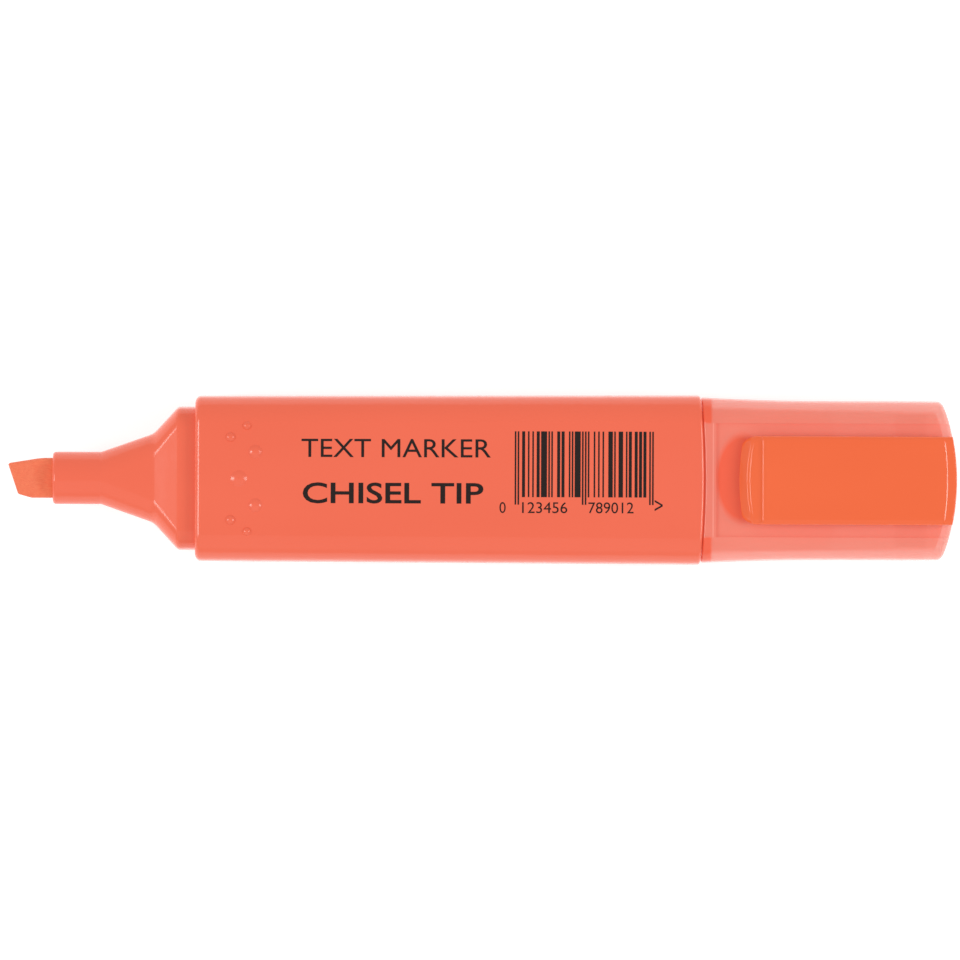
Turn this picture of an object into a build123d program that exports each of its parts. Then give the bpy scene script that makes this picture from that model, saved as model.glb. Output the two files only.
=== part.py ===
from build123d import *
import os

# A flat-bodied highlighter lying on its broad face, with its cap posted on the tail.
# X runs along the pen, from the nib (-) to the cap's end (+). Y runs across its width.
# Z is up from the face that it lies on. The origin is under the middle of the overall length.

os.makedirs("parts", exist_ok=True)

# Overall sizes, in millimetres
overall_length = 142.0
body_thickness = 15.0
front_width = 24.8  # the barrel widens a little towards the tail
rear_width = 25.4
barrel_length = 76.2
axis_height = body_thickness / 2
wall = 1.2
fit_gap = 0.02  # clearance left between pieces that are pushed together

# The flat-sided section that the barrel, cap and tail share
corner_radius = 4.0
side_crown = 0.7  # how far the narrow sides bulge

# Nib and nose
nib_width = 6.0
nib_thickness = 3.8
nib_corner = 0.6
nib_edge_thickness = 1.3  # at the writing edge
nib_bevel_length = 3.5
nib_taper_length = 5.0
nib_slant = 1.65  # how far the heel of the writing edge stands behind the tip
nib_tip_offset = 2.2  # tip and heel, each side of the pen's long axis
nib_heel_offset = 2.4
nib_heel_rounding = 0.4
nib_reach = 6.7  # tip of the nib in front of the nose tube
nib_inside_reservoir = 6.0
slot_relief = 0.15  # gap round the nib at the mouth of the tube
tube_radius = 3.93
tube_length = 7.2
tube_rim_radius = 0.5
knee_width = 13.4
knee_thickness = 9.4
knee_corner = 3.6
knee_rim_radius = 2.5
knee_length = 7.9  # end of the tube to the knee
flare_length = 3.7  # knee to collar
collar_width = 21.5
collar_thickness = 11.6
collar_length = 2.6
collar_corner = 3.0
collar_rim_radius = 1.0
spigot_length = 6.0
spigot_wall = 1.0
funnel_width = 17.6
funnel_thickness = 8.2
funnel_corner = 2.5
funnel_length = 7.0
slot_relief_length = 1.5

# Ink reservoir
reservoir_width = 19.4
reservoir_thickness = 9.6
reservoir_corner = 3.0
reservoir_length = 70.0
film = 0.2

# Barrel details
rib_width = 1.0
rib_spacing = 10.0
front_rim_radius = 0.9
rear_rim_radius = 0.4
seam_radius = 130.0  # the joint between barrel and cap bows towards the cap
seam_ease = 0.1  # each broad face falls away this much before the joint, to meet the thinner cap
seam_ease_length = 3.3
bump_height = 0.4
face_trim = 0.005

# Tail
tail_width = 21.4
tail_end_width = 20.7
tail_length = 20.2
tail_recess_radius = 5.75
tail_recess_depth = 3.0
tail_sink = 0.9  # the plug's shoulder stands this far inside the middle of the barrel's rim
tail_end_rounding = 0.6
end_radius = 33.0  # plan curve of the tail's end and of the cap's end

# Cap
cap_seam_gap = 0.15
cap_mouth_width = 24.8
cap_width = 23.86
cap_thickness = 14.7
cap_flare_length = 18.0
flare_steps = 3
cap_end_rounding = 1.0
mouth_rim_radius = 0.3
cavity_width = 21.9
cavity_end_width = 20.6
cavity_thickness = 11.9
cap_end_wall = 1.4
band_length = 1.6  # flat band round the cap's mouth
face_recess = 0.35  # the cap's face under the clip lies this much lower
face_width = 17.0

# Nib seal inside the cap
seal_radius = 5.2
seal_bore_radius = 4.0
seal_depth = 10.6
seal_wall = 1.0
seal_skirt = 3.6
seal_lip_radius = 0.4
fin_reach = 9.9
fin_thickness = 1.6
seal_set_back = 18.0  # from the cap's mouth to the seal's mouth

# Clip
clip_width = 13.2
clip_thickness = 1.5
clip_gap = 1.3
clip_length = 32.5
clip_root_length = 7.0
clip_ramp_length = 3.2
clip_pad_length = 2.4
clip_pad_gap = 0.15
clip_tip_radius = 1.5
clip_end_radius = 1.4
clip_tip_height = 0.6
clip_edge_radius = 0.4
anchor_width = 10.0
anchor_depth = 11.4
lug_reach = 0.6  # snap lugs that catch behind the cap's end wall
lug_height = 7.0
anchor_length = 4.2
boss_radius = 3.95
boss_length = 3.5

# Stations along the pen, worked out from the sizes above
nib_tip_x = -overall_length / 2
tube_rim_x = nib_tip_x + nib_reach
tube_end_x = tube_rim_x + tube_length
knee_x = tube_end_x + knee_length
collar_x = knee_x + flare_length
shoulder_x = collar_x + collar_length
seam_x = shoulder_x + barrel_length
tail_end_x = seam_x + tail_length
cap_mouth_x = seam_x + cap_seam_gap
cap_end_x = overall_length / 2
reservoir_x = shoulder_x - 1.0
funnel_x = reservoir_x - funnel_length
spigot_end_x = shoulder_x + spigot_length
plug_x = seam_x - spigot_length
seal_x = cap_mouth_x + seal_set_back
seal_end_x = seal_x + seal_depth + seal_wall + seal_skirt
clip_tip_x = cap_end_x - clip_length
clip_hinge_x = cap_end_x - clip_root_length
anchor_x = cap_end_x - anchor_length

# Heights
cap_top = axis_height + cap_thickness / 2
cap_face = cap_top - face_recess
clip_underside = cap_face + clip_gap
clip_top = clip_underside + clip_thickness


standing = (Align.MIN, Align.CENTER, Align.MIN)  # a box placed by the middle of its lower front edge


def station(x):
    """The plane across the pen at x, with its origin on the pen's long axis."""
    return Plane(origin=(x, 0, axis_height), x_dir=(0, 1, 0), z_dir=(1, 0, 0))


def flat_oval(width, thickness, corner, mode=Mode.ADD):
    """Add a flat-sided section with bulging narrow sides to the open sketch."""
    half_flat = width / 2 - side_crown
    half_thickness = thickness / 2
    with BuildSketch(mode=Mode.PRIVATE) as section:
        with BuildLine():
            Line((-half_flat, half_thickness), (half_flat, half_thickness))
            ThreePointArc((half_flat, half_thickness), (width / 2, 0), (half_flat, -half_thickness))
            Line((half_flat, -half_thickness), (-half_flat, -half_thickness))
            ThreePointArc((-half_flat, -half_thickness), (-width / 2, 0), (-half_flat, half_thickness))
        make_face()
        fillet(section.vertices(), corner)
    add(section.sketch, mode=mode)


def end_disc(crest_x, radius):
    """Add to the open sketch a disc whose edge crosses the pen's axis at crest_x."""
    with Locations((crest_x - radius, 0)):
        Circle(radius)


def barrel_width(x):
    """Outside width of the barrel at x, which grows evenly from shoulder to seam."""
    return front_width + (rear_width - front_width) * (x - shoulder_x) / barrel_length


def finish(piece, name):
    """Label a finished piece and write it to its own file."""
    piece.part.label = name
    export_step(piece.part, f"parts/{name}.step")


# Barrel: an open tube moulded with ribs inside and grip bumps on its upper face
overrun = 1.0
ease_x = seam_x - seam_ease_length
eased_thickness = body_thickness - 2 * seam_ease * (seam_ease_length + overrun) / seam_ease_length
with BuildPart() as barrel:
    for x in (shoulder_x, ease_x):
        with BuildSketch(station(x)):
            flat_oval(barrel_width(x), body_thickness + 2 * face_trim, corner_radius)
    with BuildSketch(station(seam_x + overrun)):
        flat_oval(barrel_width(seam_x + overrun), eased_thickness, corner_radius)
    loft(ruled=True)
    # The broad faces are trimmed to true planes, and the back is bowed
    with BuildSketch(Plane.XY):
        end_disc(seam_x, seam_radius)
    extrude(amount=body_thickness, mode=Mode.INTERSECT)
    front_rim = barrel.edges().group_by(Axis.X)[0]
    fillet(front_rim, front_rim_radius)
    rear_rim = barrel.faces().sort_by(Axis.X)[-1].edges()
    fillet(rear_rim, rear_rim_radius)

    # Grip bumps: a middle one, then pairs that get smaller towards the edges
    bump_rows = ((6.6, 0.0, 2.5), (9.05, 4.0, 2.1), (5.35, 6.2, 1.5), (7.8, 7.9, 1.3))
    for from_shoulder, off_centre, diameter in bump_rows:
        ball_radius = (diameter**2 / 4 + bump_height**2) / (2 * bump_height)
        ball_z = body_thickness + bump_height - ball_radius
        for y in {off_centre, -off_centre}:
            with Locations((shoulder_x + from_shoulder, y, ball_z)):
                Sphere(ball_radius)

    # Bore
    for x in (shoulder_x - overrun, seam_x + overrun):
        with BuildSketch(station(x)):
            flat_oval(barrel_width(x) - 2 * wall, body_thickness - 2 * wall, corner_radius - wall)
    loft(ruled=True, mode=Mode.SUBTRACT)

    # Ribs keep the reservoir off the wall, so that air can pass round it
    rib_reach = reservoir_thickness / 2 + film + fit_gap
    side_reach = reservoir_width / 2 + film + fit_gap
    rib_length = plug_x - spigot_end_x - 2 * overrun
    rib_middle_x = (plug_x + spigot_end_x) / 2
    for side in (-1, 1):
        rib_z = axis_height + side * (rib_reach + body_thickness / 2 - wall / 2) / 2
        with Locations((rib_middle_x, 0, rib_z)):
            with GridLocations(0, rib_spacing, 1, 2):
                Box(rib_length, rib_width, body_thickness / 2 - wall / 2 - rib_reach)
        with Locations((rib_middle_x, side * (side_reach + front_width / 2 - wall / 2) / 2, axis_height)):
            Box(rib_length, front_width / 2 - wall / 2 - side_reach, rib_width)
finish(barrel, "barrel")


# Nose section: tube, flare and collar in one moulding, with a spigot pushed into the barrel
with BuildPart() as nose_section:
    tube_side = 2 * tube_radius - fit_gap
    with BuildSketch(station(tube_end_x)):
        RectangleRounded(tube_side, tube_side, tube_radius - fit_gap)
    with BuildSketch(station(knee_x)):
        flat_oval(knee_width, knee_thickness, knee_corner)
    loft(ruled=True)
    with BuildSketch(station(knee_x)):
        flat_oval(knee_width, knee_thickness, knee_corner)
    with BuildSketch(station(collar_x)):
        flat_oval(collar_width, collar_thickness, collar_corner)
    loft(ruled=True)
    with BuildSketch(station(collar_x)):
        flat_oval(collar_width, collar_thickness, collar_corner)
    extrude(amount=collar_length + fit_gap)
    collar_rim = nose_section.edges().filter_by_position(Axis.X, collar_x, collar_x)
    fillet(collar_rim, collar_rim_radius)
    knee_rim = nose_section.edges().filter_by_position(Axis.X, knee_x, knee_x)
    fillet(knee_rim, knee_rim_radius)
    with BuildSketch(station(tube_rim_x)):
        Circle(tube_radius)
    extrude(amount=tube_length + knee_length / 2)
    tube_rim = nose_section.edges().group_by(Axis.X)[0]
    fillet(tube_rim, tube_rim_radius)

    # Spigot, pressed into the barrel's mouth, with the reservoir's front end inside it
    spigot_width = barrel_width(shoulder_x) - 2 * wall - 2 * fit_gap
    spigot_thickness = body_thickness - 2 * wall - 2 * fit_gap
    with BuildSketch(station(shoulder_x + fit_gap)):
        flat_oval(spigot_width, spigot_thickness, corner_radius - wall)
    extrude(amount=spigot_length)
    with BuildSketch(station(spigot_end_x + overrun)):
        flat_oval(spigot_width - 2 * spigot_wall, spigot_thickness - 2 * spigot_wall, reservoir_corner)
    extrude(amount=reservoir_x - spigot_end_x - overrun, mode=Mode.SUBTRACT)

    # Funnel and slot that hold the nib
    with BuildSketch(station(reservoir_x)):
        flat_oval(funnel_width, funnel_thickness, funnel_corner)
    with BuildSketch(station(funnel_x)):
        flat_oval(nib_width + spigot_wall, nib_thickness + spigot_wall, nib_corner)
    loft(ruled=True, mode=Mode.SUBTRACT)
    with BuildSketch(station(tube_rim_x)):
        RectangleRounded(nib_width + 2 * fit_gap, nib_thickness + 2 * fit_gap, nib_corner)
    extrude(amount=funnel_x - tube_rim_x, mode=Mode.SUBTRACT)
    with BuildSketch(station(tube_rim_x)):
        RectangleRounded(nib_width + 2 * slot_relief, nib_thickness + 2 * slot_relief, nib_corner)
    extrude(amount=slot_relief_length, mode=Mode.SUBTRACT)
finish(nose_section, "nose_section")


# Nib: pressed fibre, with a slanted chisel edge in front and its back end in the reservoir
nib_rear_x = reservoir_x + nib_inside_reservoir
half_nib = nib_width / 2
with BuildPart() as nib:
    with BuildSketch(Plane.XY.offset(axis_height)) as nib_plan:
        with BuildLine():
            Polyline(
                (nib_rear_x, -half_nib),
                (nib_rear_x, half_nib),
                (nib_tip_x + nib_taper_length, half_nib),
                (nib_tip_x, nib_tip_offset),
                (nib_tip_x + nib_slant, -nib_heel_offset),
                (nib_tip_x + nib_bevel_length, -half_nib),
                close=True,
            )
        make_face()
        heel = nib_plan.vertices().sort_by(Axis.X)[1]
        fillet(heel, nib_heel_rounding)
    extrude(amount=nib_thickness / 2, both=True)
    long_edges = nib.edges().filter_by(Axis.X).sort_by(SortBy.LENGTH)[-4:]
    fillet(long_edges, nib_corner - fit_gap)
    bevel_slope = (nib_thickness - nib_edge_thickness) / 2 / nib_bevel_length
    with BuildSketch(Plane.XZ) as bevels:
        for side in (-1, 1):
            edge_z = axis_height + side * nib_edge_thickness / 2
            face_z = axis_height + side * nib_thickness / 2
            with BuildLine():
                Polyline(
                    (nib_tip_x - overrun, edge_z - side * bevel_slope * overrun),
                    (nib_tip_x + nib_bevel_length, face_z),
                    (nib_tip_x - overrun, face_z),
                    close=True,
                )
            make_face()
    extrude(amount=nib_width, both=True, mode=Mode.SUBTRACT)
finish(nib, "nib")


# Ink reservoir: a bundle of polyester fibre, pushed over the nib's back end
with BuildPart() as reservoir_core:
    with BuildSketch(station(reservoir_x + fit_gap)):
        flat_oval(reservoir_width, reservoir_thickness, reservoir_corner)
    extrude(amount=reservoir_length)
    with BuildSketch(station(reservoir_x)):
        RectangleRounded(nib_width + 2 * fit_gap, nib_thickness + 2 * fit_gap, nib_corner)
    extrude(amount=nib_inside_reservoir + 2 * fit_gap, mode=Mode.SUBTRACT)
finish(reservoir_core, "reservoir_core")


# Plastic film wrapped round the reservoir
with BuildPart() as reservoir_sleeve:
    with BuildSketch(station(reservoir_x + film)):
        flat_oval(reservoir_width + 2 * film, reservoir_thickness + 2 * film, reservoir_corner + film)
        flat_oval_core = (reservoir_width + fit_gap, reservoir_thickness + fit_gap, reservoir_corner)
        flat_oval(*flat_oval_core, mode=Mode.SUBTRACT)
    extrude(amount=reservoir_length - 2 * film)
finish(reservoir_sleeve, "reservoir_sleeve")


# Tail plug: closes the back of the barrel, and carries the cap while the pen is in use
with BuildPart() as tail_plug:
    for x, width in ((seam_x - tail_sink, tail_width), (tail_end_x + overrun, tail_end_width)):
        with BuildSketch(station(x)):
            flat_oval(width, collar_thickness, collar_corner)
    loft(ruled=True)
    with BuildSketch(Plane.XY):
        end_disc(tail_end_x, end_radius)
    extrude(amount=2 * body_thickness, both=True, mode=Mode.INTERSECT)
    end_rim = tail_plug.faces().sort_by(Axis.X)[-1].edges()
    fillet(end_rim, tail_end_rounding)
    with BuildSketch(station(tail_end_x - tail_recess_depth)):
        Circle(tail_recess_radius)
    extrude(amount=tail_recess_depth + overrun, mode=Mode.SUBTRACT)

    plug_width = barrel_width(plug_x) - 2 * wall - 2 * fit_gap
    with BuildSketch(station(plug_x)):
        flat_oval(plug_width, spigot_thickness, corner_radius - wall)
    extrude(amount=spigot_length - tail_sink)
    hollow_end_x = tail_end_x - tail_recess_depth - wall
    for x, width in ((plug_x - fit_gap, tail_width), (hollow_end_x, tail_end_width)):
        with BuildSketch(station(x)):
            flat_oval(width - 2 * wall, collar_thickness - 2 * wall, collar_corner - wall)
    loft(ruled=True, mode=Mode.SUBTRACT)
finish(tail_plug, "tail_plug")


# Cap cavity: the shape taken out of the cap, which narrows a little towards its end
with BuildPart() as cap_cavity:
    for x, width in ((cap_mouth_x - overrun, cavity_width), (cap_end_x, cavity_end_width)):
        with BuildSketch(station(x)):
            flat_oval(width, cavity_thickness, collar_corner)
    loft(ruled=True)
    with BuildSketch(Plane.XY):
        end_disc(cap_end_x - cap_end_wall, end_radius - cap_end_wall)
    extrude(amount=2 * body_thickness, both=True, mode=Mode.INTERSECT)


# Cap: translucent shell, flared at its mouth, with a lowered face under the clip
with BuildPart() as cap_shell:
    flare_end_x = cap_mouth_x + cap_flare_length
    flare_drop = (cap_mouth_width - cap_width) / 2
    flare_radius = (cap_flare_length**2 + flare_drop**2) / (2 * flare_drop)
    for step in range(flare_steps + 1):
        ahead = (cap_flare_length + overrun) * (1 - step / flare_steps)
        rise = flare_radius - (flare_radius**2 - ahead**2) ** 0.5
        with BuildSketch(station(flare_end_x - ahead)):
            flat_oval(cap_width + 2 * rise, cap_thickness, corner_radius)
    loft()
    with BuildSketch(station(flare_end_x)):
        flat_oval(cap_width, cap_thickness, corner_radius)
    extrude(amount=cap_end_x - flare_end_x)
    with BuildSketch(Plane.XY):
        end_disc(cap_end_x, end_radius)
    extrude(amount=2 * body_thickness, both=True, mode=Mode.INTERSECT)
    cap_end_rim = cap_shell.faces().sort_by(Axis.X)[-1].edges()
    fillet(cap_end_rim, cap_end_rounding)
    with BuildSketch(Plane.XY):
        end_disc(cap_mouth_x, seam_radius)
    extrude(amount=2 * body_thickness, both=True, mode=Mode.SUBTRACT)
    mouth_rim = cap_shell.faces().sort_by(Axis.X)[0].edges()
    fillet(mouth_rim, mouth_rim_radius)
    add(cap_cavity.part, mode=Mode.SUBTRACT)

    # Lowered face under the clip, behind a flat band at the mouth
    with Locations((cap_mouth_x + band_length, 0, cap_face)):
        Box(cap_end_x, face_width, body_thickness, align=standing, mode=Mode.SUBTRACT)

    # Notch down the end wall for the clip's anchor
    with Locations((anchor_x, 0, cap_top - anchor_depth)):
        Box(body_thickness, anchor_width, body_thickness, align=standing, mode=Mode.SUBTRACT)
finish(cap_shell, "cap_shell")


# Nib seal: a soft cup that closes on the nose tube, pushed onto the clip anchor's boss. Two fins
# centre it across the cap
with BuildPart() as nib_seal:
    with BuildSketch(station(seal_x)):
        Circle(seal_radius)
    extrude(amount=seal_depth + seal_wall + seal_skirt)
    with BuildSketch(station(seal_x)):
        Circle(seal_bore_radius)
    extrude(amount=seal_depth, mode=Mode.SUBTRACT)
    lip = nib_seal.edges().group_by(Axis.X)[0]
    fillet(lip, seal_lip_radius)
    fin_size = (seal_wall + seal_skirt, fin_reach - seal_bore_radius, fin_thickness)
    for side in (-1, 1):
        with Locations((seal_x + seal_depth, side * (seal_bore_radius + fin_reach) / 2, axis_height)):
            Box(*fin_size, align=(Align.MIN, Align.CENTER, Align.CENTER))
    with BuildSketch(station(seal_end_x - seal_skirt)):
        Circle(seal_bore_radius)
    extrude(amount=seal_skirt, mode=Mode.SUBTRACT)
finish(nib_seal, "nib_seal")


# Clip root: snapped into the cap's end, with the boss that carries the nib seal
with BuildPart() as clip_root:
    with Locations((anchor_x, 0, axis_height - lug_height / 2)):
        Box(anchor_length, anchor_width + 2 * lug_reach, lug_height, align=standing)
    with BuildSketch(Plane.XY):
        end_disc(cap_end_x - cap_end_wall - fit_gap, end_radius - cap_end_wall - fit_gap)
    extrude(amount=2 * body_thickness, both=True, mode=Mode.INTERSECT)
    with BuildSketch(station(anchor_x)):
        Circle(boss_radius)
    extrude(amount=-boss_length)
    block_z = cap_top - anchor_depth + fit_gap
    with Locations((anchor_x + fit_gap, 0, block_z)):
        block_size = (anchor_length + overrun, anchor_width - 2 * fit_gap, cap_face - block_z + fit_gap)
        Box(*block_size, align=standing)
    with Locations((clip_hinge_x, 0, cap_face + fit_gap)):
        slab_size = (clip_root_length + overrun, clip_width, clip_top - cap_face - fit_gap)
        Box(*slab_size, align=standing)
    with BuildSketch(Plane.XY):
        end_disc(cap_end_x, end_radius)
    extrude(amount=2 * body_thickness, both=True, mode=Mode.INTERSECT)
    top_edges = clip_root.faces().sort_by(Axis.Z)[-1].edges()
    fillet(top_edges.sort_by(Axis.X)[-1], clip_end_radius)
    top_edges = clip_root.faces().sort_by(Axis.Z)[-1].edges().filter_by(Axis.X)
    fillet(top_edges, clip_edge_radius)
finish(clip_root, "clip_root")


# Clip arm: the springy tongue, with a ramped tip that ends in a pad close to the cap's face
with BuildPart() as clip_arm:
    pad_z = cap_face + clip_pad_gap
    arm_rear_x = clip_hinge_x - fit_gap
    with BuildSketch(Plane.XZ):
        with BuildLine():
            Polyline(
                (arm_rear_x, clip_underside),
                (arm_rear_x, clip_top),
                (clip_tip_x + clip_ramp_length, clip_top),
                (clip_tip_x, pad_z + clip_tip_height),
                (clip_tip_x, pad_z),
                (clip_tip_x + clip_pad_length, pad_z),
                (clip_tip_x + clip_pad_length + clip_gap, clip_underside),
                close=True,
            )
        make_face()
    extrude(amount=clip_width / 2, both=True)
    tip_corners = clip_arm.edges().filter_by(Axis.Z).group_by(Axis.X)[0]
    fillet(tip_corners, clip_tip_radius)
finish(clip_arm, "clip_arm")
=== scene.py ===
import math

import bmesh
import bpy
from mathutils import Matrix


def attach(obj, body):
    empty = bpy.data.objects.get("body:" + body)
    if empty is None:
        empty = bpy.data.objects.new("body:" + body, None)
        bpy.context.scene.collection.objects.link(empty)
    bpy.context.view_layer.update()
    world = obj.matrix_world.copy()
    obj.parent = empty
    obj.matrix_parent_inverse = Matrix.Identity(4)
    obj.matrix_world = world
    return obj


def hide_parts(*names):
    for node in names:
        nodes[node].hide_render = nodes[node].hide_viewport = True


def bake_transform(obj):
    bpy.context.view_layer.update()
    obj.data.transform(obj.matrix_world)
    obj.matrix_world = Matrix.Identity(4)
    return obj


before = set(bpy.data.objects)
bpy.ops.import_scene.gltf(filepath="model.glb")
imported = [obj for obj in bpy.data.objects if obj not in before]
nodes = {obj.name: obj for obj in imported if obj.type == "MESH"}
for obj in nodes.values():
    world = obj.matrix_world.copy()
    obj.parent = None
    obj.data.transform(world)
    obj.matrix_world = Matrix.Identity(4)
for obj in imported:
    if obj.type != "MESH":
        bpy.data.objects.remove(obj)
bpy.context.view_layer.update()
mm = 0.001

# --- Ink reservoir --------------------------------------------------------------------------
# A bundle of polyester fibre soaked with ink, wrapped in clear film. It lies inside the barrel,
# between the ribs, and its front end is pushed over the back of the nib.


class Value:
    """One output in a material's nodes. Arithmetic on it adds Math nodes."""

    def __init__(self, finish, socket):
        self.finish = finish
        self.socket = socket

    def math(self, operation, left, right=0.0):
        return self.finish.add("ShaderNodeMath", {"operation": operation}, {0: left, 1: right})

    def __add__(self, other):
        return self.math("ADD", self, other)

    def __sub__(self, other):
        return self.math("SUBTRACT", self, other)

    def __mul__(self, other):
        return self.math("MULTIPLY", self, other)

    def __truediv__(self, other):
        return self.math("DIVIDE", self, other)

    def __rsub__(self, other):
        return self.math("SUBTRACT", other, self)

    def __rtruediv__(self, other):
        return self.math("DIVIDE", other, self)

    def __abs__(self):
        return self.math("ABSOLUTE", self)

    def or_more(self, other):
        """The larger of this value and another."""
        return self.math("MAXIMUM", self, other)

    __radd__ = __add__
    __rmul__ = __mul__


class Finish:
    """A material in the making."""

    def __init__(self, name):
        self.material = bpy.data.materials.new(name)
        self.material.use_nodes = True
        self.tree = self.material.node_tree
        self.tree.nodes.clear()

    def add(self, kind, settings=None, sockets=None, output=0):
        """Add a node: its settings first, then the values or links of its sockets."""
        node = self.tree.nodes.new(kind)
        for name, setting in (settings or {}).items():
            setattr(node, name, setting)
        for name, value in (sockets or {}).items():
            if isinstance(value, Value):
                self.tree.links.new(value.socket, node.inputs[name])
            else:
                node.inputs[name].default_value = value
        return Value(self, node.outputs[output]) if len(node.outputs) else None

    def place(self, stretch=(1, 1, 1)):
        """Object coordinates in millimetres. A pattern on them is drawn out along each axis by stretch."""
        at = self.add("ShaderNodeTexCoord", output="Object")
        return self.add("ShaderNodeMapping", None, {"Vector": at, "Scale": [1 / mm / s for s in stretch]})

    def axis(self, index):
        """One object coordinate in millimetres: 0 along the pen, 1 across it, 2 up."""
        return self.add("ShaderNodeSeparateXYZ", None, {0: self.place()}, output=index)

    def noise(self, size, detail=2.0, rough=0.5, stretch=(1, 1, 1)):
        """Even noise from 0 to 1, with blobs about size millimetres across."""
        sockets = {"Vector": self.place(stretch), "Scale": 1 / size, "Detail": detail, "Roughness": rough}
        return self.add("ShaderNodeTexNoise", None, sockets)

    def span(self, value, low, high):
        """0 where value is at low, 1 where it is at high, and held to that range beyond them."""
        return self.add("ShaderNodeMapRange", None, {"Value": value, "From Min": low, "From Max": high})

    def mix(self, share, first, second):
        """Two colours mixed, with share of the second."""
        return self.add("ShaderNodeMix", {"data_type": "RGBA"}, {0: share, 6: first, 7: second}, output=2)

    def bump(self, height, depth):
        """A surface normal from height, 1 standing depth millimetres out."""
        return self.add("ShaderNodeBump", None, {"Height": height, "Distance": depth * mm})

    def surface(self, sockets):
        """End the material with one Principled shader."""
        shader = self.add("ShaderNodeBsdfPrincipled", None, sockets)
        self.add("ShaderNodeOutputMaterial", None, {"Surface": shader})
        return self.material


def colour(red, green, blue):
    """A screen colour, 0 to 255, as the linear colour that the shaders take."""
    parts = [part / 255 for part in (red, green, blue)]
    return (*(p / 12.92 if p <= 0.04045 else ((p + 0.055) / 1.055) ** 2.4 for p in parts), 1)


def wear(node, material):
    """Give a CAD node its finish."""
    for place in nodes[node].material_slots:
        place.material = material


painted_glow = 0.2  # painted light: how strongly the plastic and ink glows in its own colour by emission, which stands in for fluorescence and lifts shade


def soaked_fibre(name, wet, dry, strand, draw):
    """Strands laid along X, draw times as long as they are wide, each wetted a little differently. It glows a
    little by emission: painted light.
    """
    finish = Finish(name)
    strands = finish.noise(strand, detail=3, stretch=(draw, 1, 1))
    patches = finish.noise(4.0)
    tone = finish.span(strands * 0.7 + patches * 0.3, 0.35, 0.65)
    return finish.surface({
        "Base Color": finish.mix(tone, wet, dry),
        "Roughness": 0.6 + 0.25 * tone,
        "Normal": finish.bump(strands, 0.12),
        "Sheen Weight": 0.15,
        # painted light: the fibre glows a little in its wet colour by emission
        "Emission Color": wet,
        "Emission Strength": painted_glow,
    })


core_fibre = soaked_fibre(
    "ink_soaked_polyester", colour(205, 70, 40), colour(240, 120, 70), strand=0.18, draw=30)
wear("reservoir_core", core_fibre)

film = Finish("clear_film")
crinkle = film.noise(2.5, detail=3, stretch=(4, 1, 1))
wear("reservoir_sleeve", film.surface({
    "Base Color": film.mix(film.span(crinkle, 0.4, 0.6), colour(250, 170, 140), colour(255, 205, 185)),
    "Roughness": 0.12 + 0.1 * crinkle,
    "Normal": film.bump(crinkle, 0.1),
    "Transmission Weight": 0.8,
    "IOR": 1.46,
}))

# --- Nib --------------------------------------------------------------------------------------
# Pressed polyester fibre, cut to a slanted chisel edge. It is pushed through the slot in the
# nose tube from inside, and its back end stands in the reservoir.
nib_half_width = 3.0
nib_half_thickness = 1.9
nib_middle_z = 7.5
nib_tip_x = -71.0
nib_heel_x = -69.6
nib_back_x = -37.9
nib_edge_half = 0.62  # half the thickness left at the writing edge
nib_bevel = 3.5  # length of the two flats that thin it towards that edge
nib_wear = 0.2  # the cut edge is worn slightly round over a short length
nib_wear_length = 0.3


def rounded_ring(low_y, high_y, low_z, high_z, radius_y, radius_z=None, steps=5):
    """Points (y, z) round a rectangle with rounded corners, anticlockwise seen from +X."""
    radius_z = radius_z or radius_y
    corners = ((high_y, low_z, -1, 1, -90), (high_y, high_z, -1, -1, 0),
               (low_y, high_z, 1, -1, 90), (low_y, low_z, 1, 1, 180))
    ring = []
    for y, z, in_y, in_z, first in corners:
        for step in range(steps + 1):
            turn = math.radians(first + 90 * step / steps)
            ring.append((y + in_y * radius_y + radius_y * math.cos(turn),
                         z + in_z * radius_z + radius_z * math.sin(turn)))
    return ring


def finished(name, work, finish, sharp):
    """A smooth-shaded piece with its faces outwards and its edges kept crisp, from a mesh in the making."""
    bmesh.ops.recalc_face_normals(work, faces=work.faces)
    shape = bpy.data.meshes.new(name)
    work.to_mesh(shape)
    work.free()
    shape.shade_smooth()
    shape.set_sharp_from_angle(angle=math.radians(sharp))
    shape.materials.append(finish)
    piece = bpy.data.objects.new(name, shape)
    bpy.context.scene.collection.objects.link(piece)
    return piece


def skin(name, rings, finish, sharp):
    """A closed piece over rings of points (x, y, z) in millimetres, lying one behind the other."""
    work = bmesh.new()
    rows = [[work.verts.new((x * mm, y * mm, z * mm)) for x, y, z in ring] for ring in rings]
    for row, after in zip(rows, rows[1:]):
        for i in range(len(row)):
            j = (i + 1) % len(row)
            work.faces.new((row[i], row[j], after[j], after[i]))
    work.faces.new(rows[0])
    work.faces.new(rows[-1])
    return finished(name, work, finish, sharp)


def along(stops, at):
    """Value at a place between (place, value) stops, on straight lines."""
    for (a, first), (b, second) in zip(stops, stops[1:]):
        if at <= b:
            return first + (second - first) * max(0.0, at - a) / (b - a)
    return stops[-1][1]


# The tip leads on the left side and the heel stands behind it on the right, which slants the edge
left_side = ((nib_tip_x, 2.2), (-66.0, nib_half_width))
right_side = ((nib_heel_x, -2.4), (-67.5, -nib_half_width))
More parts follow.
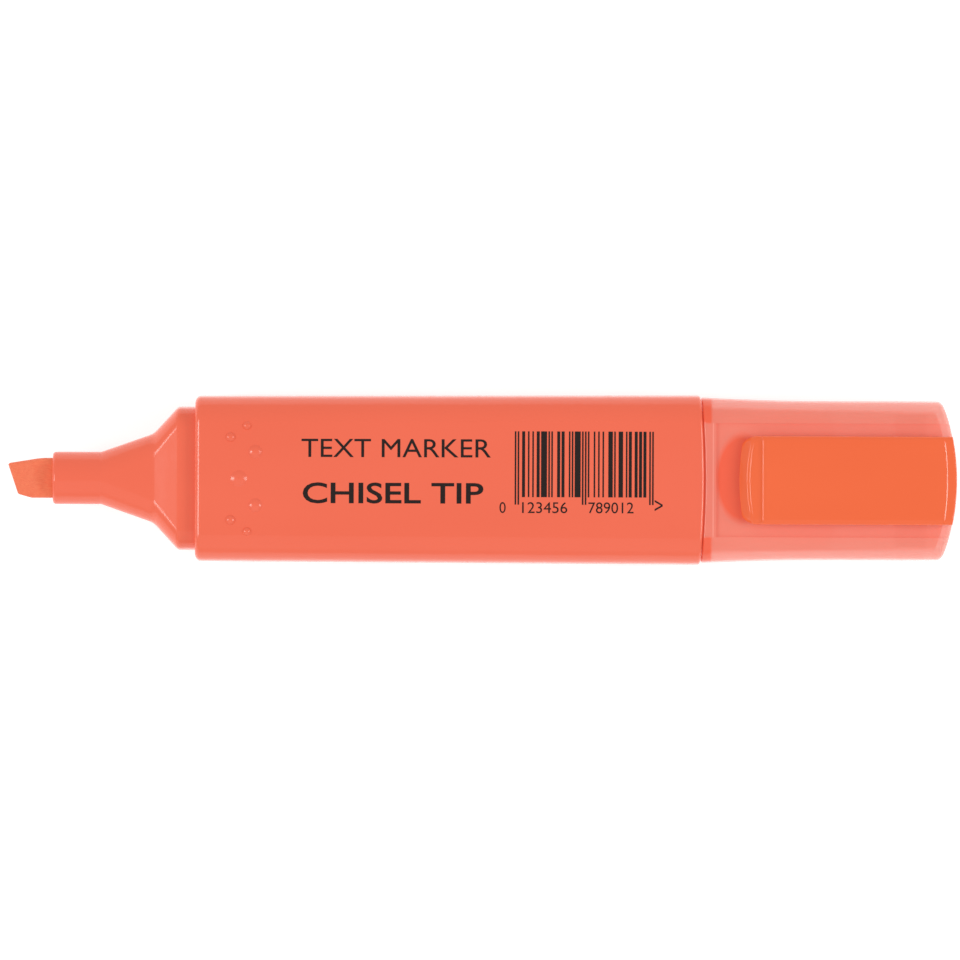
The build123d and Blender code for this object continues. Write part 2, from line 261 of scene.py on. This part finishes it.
# Each ring's right end gains on its left end, so that the rings are nearly square at the back
catching_up = 1 - (nib_heel_x - nib_tip_x) / (nib_back_x - nib_tip_x)
nib_rings = []
for behind in (0.0, 0.06, 0.16, 0.3, 0.5, 0.8, 1.2, 1.7, 2.3, 3.0, 3.5, 3.8, 4.4, 5.4, 7.0, 10.0, 16.0, 33.0):
    left_x = min(nib_tip_x + behind, nib_back_x)
    right_x = min(nib_heel_x + behind * catching_up, nib_back_x)
    worn = nib_wear * (1 - min(behind / nib_wear_length, 1.0)) ** 2
    left_y = along(left_side, left_x) - worn
    right_y = along(right_side, right_x) + worn
    thin = min(behind / nib_bevel, 1.0)
    half = nib_edge_half + (nib_half_thickness - nib_edge_half) * thin
    ring = rounded_ring(right_y, left_y, worn - half, half - worn, 0.2 + 0.4 * thin)
    slant = (left_x - right_x) / (left_y - right_y)
    nib_rings.append([(right_x + slant * (y - right_y), y, nib_middle_z + z) for y, z in ring])
nib_rings.append([(nib_back_x, y, z) for x, y, z in nib_rings[-1]])
nib_fibre = soaked_fibre("pressed_nib_fibre", colour(222, 98, 62), colour(230, 122, 84), strand=0.12, draw=6)
nib = skin("nib_chisel", nib_rings, nib_fibre, sharp=50)
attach(nib, "pen")
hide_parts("nib")

# --- Nose section -----------------------------------------------------------------------------
# Tube, flare and collar in one injection moulding of opaque fluorescent plastic. A spigot behind
# the collar is pushed into the barrel, and the nib stands in the slot of the tube's end.
peel_depth = 0.004  # how far the faint ripple of a moulded surface stands out
plastic_ior = 1.49


def moulded(name, body, shade, gloss=0.18):
    """Injection-moulded plastic: near-even colour, a faint orange peel and slight flow marks."""
    finish = Finish(name)
    flow = finish.noise(14.0, detail=2, stretch=(3, 1, 1))
    peel = finish.noise(0.45, detail=1)
    rub = finish.noise(1.6, detail=4, rough=0.7, stretch=(1, 5, 5))
    return finish.surface({
        "Base Color": finish.mix(finish.span(flow, 0.3, 0.7), shade, body),
        "Roughness": gloss + 0.05 * finish.span(rub, 0.45, 0.7),
        "Normal": finish.bump(peel, peel_depth),
        "IOR": plastic_ior,
        # painted light: the plastic glows a little in the body's colour by emission
        "Emission Color": body,
        "Emission Strength": painted_glow,
    })


body_orange = colour(222, 98, 71)
body_shade = colour(219, 95, 68)
wear("nose_section", moulded("nose_plastic", body_orange, body_shade))

# --- Barrel -----------------------------------------------------------------------------------
# Flat-sided tube, injection moulded in the same plastic, with its grip bumps and rounded rim. The
# nose section closes its front and the tail plug its back.
wear("barrel", moulded("barrel_plastic", body_orange, body_shade))

# --- Tail plug --------------------------------------------------------------------------------
# Injection moulded in the same plastic. It closes the back of the barrel, and the posted cap slides
# over it. A darker band that follows the end's outline is painted shade, where the end's edge shows
# dark through the cap.
# the band of painted shade runs along this line
shade_line_x = 52.8
square_half = 8.0  # the end is square to this far from the middle
corner_slant = 0.45  # beyond that it falls back

plug = Finish("plug_plastic")
beside = (abs(plug.axis(1)) - square_half).or_more(0.0)
from_shade_line = abs(plug.axis(0) + beside * corner_slant - shade_line_x)
wear("tail_plug", plug.surface({
    # painted shade: darker towards the line that follows the end's outline
    "Base Color": plug.mix(plug.span(from_shade_line, 0.55, 0.3), colour(224, 106, 79), colour(168, 52, 34)),
    "Roughness": 0.3 + 0.1 * plug.noise(1.6, detail=3),
    "Normal": plug.bump(plug.noise(0.45, detail=1), peel_depth),
    # painted light: the plug glows a little in the body's colour by emission
    "Emission Color": body_orange,
    "Emission Strength": painted_glow,
}))

# --- Nib seal ---------------------------------------------------------------------------------
# Cup moulded in a softer, half-clear plastic and pushed onto the boss inside the cap. It closes
# on the nose tube and keeps air from the nib.
wear("nib_seal", moulded("seal_plastic", colour(205, 72, 48), colour(200, 68, 44), gloss=0.45))

# --- Cap --------------------------------------------------------------------------------------
# Milky, see-through moulded shell. What is inside it shows as soft, deeper-coloured shapes. It is
# deeper in colour round the mouth's corners. Under the clip's tip lies an oval of painted shadow,
# cast by the tip, and along a small step inside the mouth runs a pale painted highlight.
mouth_step_x = 34.6  # a small step inside the mouth; a pale line along it is a painted highlight
mouth_corner_y = 8.5  # the deeper-coloured corners start this far from the middle
tip_shadow_middle = (38.9, 0.3)  # middle of the oval of painted shadow under the clip's tip
tip_shadow_half = (4.0, 6.8)

cap = Finish("cap_plastic")
cap_x = cap.axis(0)
cap_y = cap.axis(1)
oval_x = (cap_x - tip_shadow_middle[0]) / tip_shadow_half[0]
oval_y = (cap_y - tip_shadow_middle[1]) / tip_shadow_half[1]
upper_wall = cap.span(cap.axis(2), 11.0, 12.5)
# painted shadow: an oval of the upper wall under the clip's tip is darker, where the tip shades it
tip_shadow = cap.span(oval_x * oval_x + oval_y * oval_y, 1.1, 0.75) * upper_wall
at_corner = cap.span(abs(cap_y), mouth_corner_y - 0.2, mouth_corner_y + 0.2)
mouth_corner = cap.span(cap_x, mouth_step_x, mouth_step_x - 0.4) * at_corner
tip_shadow_and_deep_corners = tip_shadow.or_more(mouth_corner)
flow_marks = cap.span(cap.noise(12.0, detail=2, stretch=(2, 1, 1)), 0.3, 0.7)
# painted highlight: a pale line where the small step inside the mouth catches the light
step_highlight = cap.span(abs(cap_x - mouth_step_x), 0.14, 0.04) * (1.0 - at_corner)
milky = cap.mix(flow_marks, colour(230, 138, 120), colour(232, 143, 125))
with_step_highlight = cap.mix(step_highlight * 0.6, milky, colour(248, 176, 162))
wear("cap_shell", cap.surface({
    # deeper colour, and less see-through, in the painted tip shadow and at the mouth's corners
    "Base Color": cap.mix(tip_shadow_and_deep_corners, with_step_highlight, colour(222, 88, 60)),
    "Roughness": 0.14 + 0.05 * cap.span(cap.noise(1.6, detail=4), 0.45, 0.7),
    "Normal": cap.bump(cap.noise(0.5, detail=1), 0.003),
    "Alpha": 0.62 + 0.06 * cap.noise(3.0, detail=3, stretch=(2, 1, 1)) + 0.3 * tip_shadow_and_deep_corners,
    "IOR": plastic_ior,
    # painted light: the cap glows a little in its own colour by emission
    "Emission Color": colour(255, 110, 80),
    "Emission Strength": 0.16,
}))

# --- Clip -------------------------------------------------------------------------------------
# One opaque springy moulding: a flat tongue with a blunt ramped tip, and an anchor that snaps
# into the notch in the cap's end. On the pen the tongue flexes where it leaves the anchor; here it
# is one mesh, and nothing bends it.
clip_half_width = 6.6
clip_tip_x = 38.5
clip_end_x = 70.99
clip_pad_z = 14.65
clip_under_z = 15.8
clip_root_z = 14.52
tip_corner = 1.7
side_round = 0.8
edge_round = 0.45
end_curve = 33.0  # plan radius of the clip's and the cap's end
end_curve_x = 58.0  # the rings start to follow that curve here
# Heights of the top, from the tip's front edge over its ramp and two fine ridges to the flat tongue
tip_profile = ((0, 15.15), (0.06, 15.35), (0.18, 15.48), (0.42, 15.74), (0.75, 16.08), (1.02, 16.36),
               (1.1, 16.44), (1.16, 16.47), (1.19, 16.477), (1.51, 16.548), (1.54, 16.555), (1.57, 16.575),
               (1.6, 16.59), (1.63, 16.597), (2.5, 16.79), (3.2, 16.945), (3.28, 17.05), (3.4, 17.2),
               (3.48, 17.26), (3.6, 17.3))
# How far the ramp's sides lie back behind its middle
tip_bow = ((0, 0.35), (0.3, 0.5), (0.8, 0.75), (1.2, 0.8), (1.7, 0.7), (2.5, 0.4), (3.2, 0.05), (3.6, 0))
# How far the top falls at each distance before the end
end_fall = ((0, 0.75), (0.04, 0.45), (0.1, 0.3), (0.16, 0.25), (0.2, 0.245), (1.26, 0.105), (1.3, 0.1),
            (1.42, 0.07), (1.5, 0.03), (1.6, 0))
# Heights of the pad under the tip, the tongue's underside and the root
underside = ((0, clip_pad_z), (2.4, clip_pad_z), (3.3, clip_under_z), (25.3, clip_under_z),
             (25.5, clip_root_z), (33, clip_root_z))


def clip_section(behind_tip):
    """One ring across the clip at a distance behind its tip, following the curve of its end."""
    x = clip_tip_x + behind_tip
    inset = max(0.0, tip_corner - behind_tip)
    half = clip_half_width - (tip_corner - math.sqrt(tip_corner**2 - inset**2))
    top = along(tip_profile, behind_tip) - along(end_fall, clip_end_x - x)
    low = along(underside, behind_tip)
    ring = rounded_ring(-half, half, low, top, side_round, min(edge_round, (top - low) / 2.2))
    flat = ring[11][0]  # the flat top and underside reach this far to each side
    across = [flat * (1 - i / 6) for i in range(1, 12)]
    ring = ring[:12] + [(y, top) for y in across] + ring[12:] + [(-y, low) for y in across]
    curve = max(0.0, (x - end_curve_x) / (clip_end_x - end_curve_x)) ** 2
    bow = along(tip_bow, behind_tip)
    return [
        (x - curve * (end_curve - math.sqrt(end_curve**2 - y * y)) + bow * (y / half) ** 2, y, z)
        for y, z in ring
    ]


tip_steps = sorted({d for d, z in tip_profile} | {0.1, 0.3, 0.6, 0.9, 2.2, 2.85})
body_steps = [4.5 + i for i in range(21)]
root_steps = [25.3, 25.5, 26.2, 27.0, 28.0, 29.0]
end_steps = [30.0] + [clip_end_x - clip_tip_x - before for before, fall in reversed(end_fall)]
stations = tip_steps + body_steps + root_steps + end_steps
clip_finish = moulded("clip_plastic", colour(223, 96, 52), colour(220, 93, 49), gloss=0.12)
tongue = skin("clip_tongue", [clip_section(d) for d in stations], clip_finish, sharp=35)
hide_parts("clip_arm")
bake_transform(tongue)

# The anchor is cut off just above the underside of the tongue's root
work = bmesh.new()
work.from_mesh(nodes["clip_root"].data)
bmesh.ops.remove_doubles(work, verts=work.verts, dist=0.001 * mm)
cut = bmesh.ops.bisect_plane(
    work, geom=work.verts[:] + work.edges[:] + work.faces[:], dist=0.0001 * mm,
    plane_co=(0, 0, (clip_root_z + 0.06) * mm), plane_no=(0, 0, 1), clear_outer=True)
cut_edges = [part for part in cut["geom_cut"] if isinstance(part, bmesh.types.BMEdge)]
bmesh.ops.holes_fill(work, edges=cut_edges, sides=0)
anchor = finished("clip_anchor", work, clip_finish, sharp=35)
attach(anchor, "cap")
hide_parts("clip_root")

# --- Printing on the barrel --------------------------------------------------------------------
# Pad-printed in black on the barrel's upper face: two lines of lettering, and a bar code with a
# placeholder number under it.
face_z = 15.0  # height of the barrel's upper face
ink_lift = 0.02  # the ink's top stands this far out of the face
ink_sink = 0.01
ink_spread = 0.012  # each bar prints this much wider than it is drawn

ink = Finish("black_pad_print")
ink_speck = ink.noise(0.25, detail=2)
print_ink = ink.surface({
    "Base Color": ink.mix(ink.span(ink_speck, 0.3, 0.7), colour(22, 12, 10), colour(34, 20, 16)),
    "Roughness": 0.5 + 0.12 * ink_speck,
    "Specular IOR Level": 0.25,
})


def lettering(words, left, foot, height, width, weight):
    """Mesh of printed words standing on foot, with letters of that height, fitted to a width."""
    curve = bpy.data.curves.new("words", "FONT")
    curve.body = words
    curve.extrude = 0.5
    curve.offset = weight
    curve.resolution_u = 4
    letters = bpy.data.objects.new("words", curve)
    bpy.context.scene.collection.objects.link(letters)
    shape = bpy.data.meshes.new_from_object(letters.evaluated_get(bpy.context.evaluated_depsgraph_get()))
    bpy.data.objects.remove(letters)
    bpy.data.curves.remove(curve)
    xs = [v.co.x for v in shape.vertices]
    ys = [v.co.y for v in shape.vertices]
    tall = height / (max(ys) - min(ys))
    wide = width / (max(xs) - min(xs))
    for v in shape.vertices:
        x = left + (v.co.x - min(xs)) * wide
        y = foot + (v.co.y - min(ys)) * tall
        z = face_z + (ink_lift if v.co.z > 0 else -ink_sink)
        v.co = (x * mm, y * mm, z * mm)
    return shape


def printed(name, shapes):
    """One printed piece from meshes that are already in their place."""
    work = bmesh.new()
    for shape in shapes:
        work.from_mesh(shape)
        bpy.data.meshes.remove(shape)
    bmesh.ops.remove_doubles(work, verts=work.verts, dist=0.0005 * mm)
    whole = bpy.data.meshes.new(name)
    work.to_mesh(whole)
    work.free()
    whole.materials.clear()
    whole.materials.append(print_ink)
    for polygon in whole.polygons:
        polygon.material_index = 0
    piece = bpy.data.objects.new(name, whole)
    bpy.context.scene.collection.objects.link(piece)
    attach(piece, "pen")
    return piece


code_number = "0123456789012"  # a placeholder with a valid check digit
code_left = 4.93
module = 0.2185  # width of the thinnest bar
code_top = 7.2
bar_foot = -2.64
guard_foot = -3.76
digit_foot = -5.03
digit_height = 1.65
# Words, left end, foot, height, width and extra weight
print_lines = (
    ("TEXT MARKER", -26.95, 3.26, 2.73, 28.3, 0.0),
    ("CHISEL TIP", -26.75, -3.68, 3.15, 27.0, 0.014),
    (code_number[0], 2.66, digit_foot, digit_height, 0.93, 0.0),
    (code_number[1:7], 6.05, digit_foot, digit_height, 6.75, 0.0),
    (code_number[7:], 15.95, digit_foot, digit_height, 6.75, 0.0),
    (">", 25.85, digit_foot + 0.38, digit_height, 1.2, 0.0),
)
printed("print_words", [lettering(*line) for line in print_lines])

digit_bars = ("0001101", "0011001", "0010011", "0111101", "0100011",
              "0110001", "0101111", "0111011", "0110111", "0001011")
flipped = str.maketrans("01", "10")
# A number that starts with 0 has only the first kind of code on its left side
left_half = "".join(digit_bars[int(d)] for d in code_number[1:7])
right_half = "".join(digit_bars[int(d)].translate(flipped) for d in code_number[7:])
modules = "101" + left_half + "01010" + right_half + "101"
bars = []
start = None
for i, mark in enumerate(modules + "0"):
    if mark == "1" and start is None:
        start = i
    elif mark == "0" and start is not None:
        guard = start < 3 or 45 <= start < 50 or start >= 92
        foot = guard_foot if guard else bar_foot
        bars.append(((start + i) / 2, i - start, (code_top + foot) / 2, code_top - foot))
        start = None

bar_points = bpy.data.meshes.new("bar_points")
bar_points.from_pydata(
    [((code_left + middle * module) * mm, y * mm, (face_z + (ink_lift - ink_sink) / 2) * mm)
     for middle, wide, y, tall in bars], [], [])
for label, column, scale in (("bar_width", 1, module * mm), ("bar_height", 3, mm)):
    attribute = bar_points.attributes.new(label, "FLOAT", "POINT")
    for item, bar in zip(attribute.data, bars):
        item.value = bar[column] * scale

tree = bpy.data.node_groups.new("bar_code", "GeometryNodeTree")
tree.interface.new_socket("Bar points", in_out="INPUT", socket_type="NodeSocketGeometry")
thickness_socket = tree.interface.new_socket("Ink thickness", in_out="INPUT", socket_type="NodeSocketFloat")
spread_socket = tree.interface.new_socket("Ink spread", in_out="INPUT", socket_type="NodeSocketFloat")
tree.interface.new_socket("Bars", in_out="OUTPUT", socket_type="NodeSocketGeometry")


def step(kind, links=None, values=None, **settings):
    """Add a node to the bar code's tree."""
    node = tree.nodes.new(kind)
    for name, setting in settings.items():
        setattr(node, name, setting)
    for name, value in (values or {}).items():
        node.inputs[name].default_value = value
    for name, source in (links or {}).items():
        tree.links.new(source, node.inputs[name])
    return node


given = step("NodeGroupInput")
wide = step("GeometryNodeInputNamedAttribute", values={"Name": "bar_width"}, data_type="FLOAT")
tall = step("GeometryNodeInputNamedAttribute", values={"Name": "bar_height"}, data_type="FLOAT")
spread = step("ShaderNodeMath", {
    0: wide.outputs["Attribute"], 1: given.outputs["Ink spread"]}, operation="ADD")
size = step("ShaderNodeCombineXYZ", {
    "X": spread.outputs[0], "Y": tall.outputs["Attribute"], "Z": given.outputs["Ink thickness"]})
bar = step("GeometryNodeMeshCube", values={"Size": (1, 1, 1)})
placed = step("GeometryNodeInstanceOnPoints", {
    "Points": given.outputs["Bar points"], "Instance": bar.outputs["Mesh"], "Scale": size.outputs[0]})
real = step("GeometryNodeRealizeInstances", {"Geometry": placed.outputs[0]})
inked = step("GeometryNodeSetMaterial", {"Geometry": real.outputs[0]}, {"Material": print_ink})
step("NodeGroupOutput", {"Bars": inked.outputs[0]})

bar_object = bpy.data.objects.new("bar_points", bar_points)
bpy.context.scene.collection.objects.link(bar_object)
bar_code = bar_object.modifiers.new("bar_code", "NODES")
bar_code.node_group = tree
bar_code[thickness_socket.identifier] = (ink_lift + ink_sink) * mm
bar_code[spread_socket.identifier] = ink_spread * mm
bar_mesh = bpy.data.meshes.new_from_object(
    bar_object.evaluated_get(bpy.context.evaluated_depsgraph_get()))
bpy.data.objects.remove(bar_object)
printed("print_bar_code", [bar_mesh])

# --- Studio -----------------------------------------------------------------------------------
# A pale floor lit a little from below, a white surround, a broad soft light from the near side
# and a soft box off each end of the pen.


def studio_light(name, place, size, power):
    """A rectangular lamp aimed at the middle of the pen."""
    lamp = bpy.data.lights.new(name, "AREA")
    lamp.shape = "RECTANGLE"
    lamp.size, lamp.size_y = size
    lamp.energy = power
    light = bpy.data.objects.new(name, lamp)
    bpy.context.scene.collection.objects.link(light)
    light.location = place
    light.rotation_euler = (-light.location).to_track_quat("-Z", "Y").to_euler()
    return light


studio_light("near_light", place=(0.0, -0.55, 0.65), size=(1.3, 0.9), power=1.0)
studio_light("left_box", place=(-0.62, 0.0, 0.5), size=(0.27, 0.27), power=2.1)
studio_light("right_box", place=(0.62, 0.0, 0.5), size=(0.27, 0.27), power=2.1)

world = bpy.data.worlds.new("studio")
bpy.context.scene.world = world
world.use_nodes = True
surround = world.node_tree.nodes["Background"]
surround.inputs["Color"].default_value = (1, 1, 1, 1)
surround.inputs["Strength"].default_value = 0.58

floor_half = 4.0
floor_z = -0.02 * mm  # just clear of the face that the pen lies on
corners = [(x * floor_half, y * floor_half, floor_z) for x, y in ((-1, -1), (1, -1), (1, 1), (-1, 1))]
floor_mesh = bpy.data.meshes.new("floor")
floor_mesh.from_pydata(corners, [], [(0, 1, 2, 3)])
floor = bpy.data.objects.new("floor", floor_mesh)
bpy.context.scene.collection.objects.link(floor)
paper = Finish("pale_floor")
floor_mesh.materials.append(paper.surface({
    "Base Color": (0.62, 0.62, 0.62, 1),
    "Roughness": 0.9,
    "Specular IOR Level": 0.1,
    "Emission Color": (1, 1, 1, 1),
    "Emission Strength": 0.6,
}))

# The camera looks straight down from far off, so that the pen shows almost without perspective.
camera_height = 2.0
field_width = 0.144  # what the frame spans at the pen's mid-thickness
mid_height = 0.0075
camera_data = bpy.data.cameras.new("camera")
camera_data.sensor_width = 36.0
camera_data.lens = camera_data.sensor_width * (camera_height - mid_height) / field_width
camera_data.clip_end = 10.0
camera = bpy.data.objects.new("camera", camera_data)
bpy.context.scene.collection.objects.link(camera)
camera.location = (-0.00026, -0.0001, camera_height)
camera.rotation_euler = (0, 0, math.radians(0.2))
bpy.context.scene.camera = camera
bpy.context.scene.view_settings.view_transform = "Standard"
